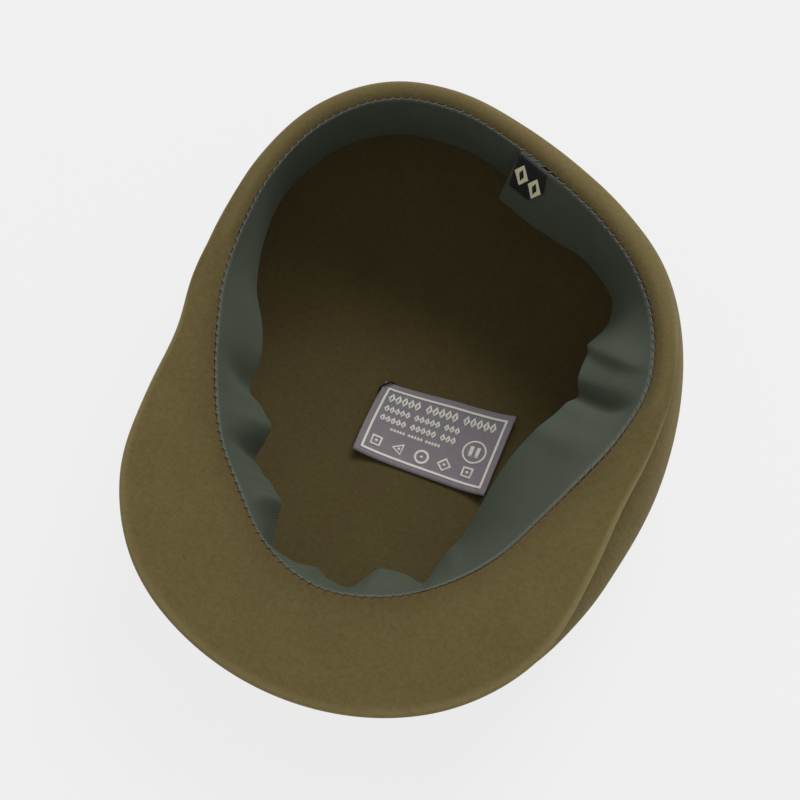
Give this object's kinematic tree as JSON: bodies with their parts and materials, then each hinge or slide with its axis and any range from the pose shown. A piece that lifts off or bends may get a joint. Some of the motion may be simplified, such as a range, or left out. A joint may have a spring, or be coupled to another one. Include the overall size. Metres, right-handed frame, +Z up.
{
  "type": "flat cap",
  "caption": "Moulded wool felt flat cap, hollow, with a short peak in one piece with the crown and a ribbon sweatband inside; lies upside down on its crown.",
  "frame": {"origin": "middle of the flat patch of the crown that the cap lies on", "axes": "+Z up out of the open side of the cap, -Y towards the front of the peak, +X towards the wearer's right"},
  "size_m": [0.2049, 0.2507, 0.089],
  "materials": {
    "felt": "olive wool felt, short matt nap",
    "ribbon": "dark green ribbed grosgrain ribbon",
    "tag_cloth": "black woven tape",
    "label_cloth": "grey woven label with pale marks",
    "thread": "black sewing thread"
  },
  "bodies": {
    "root": {"felt_body": "felt", "sweatband": "ribbon", "size_tag": "tag_cloth", "care_label": "label_cloth", "label_tack": "thread"}
  },
  "joints": []
}
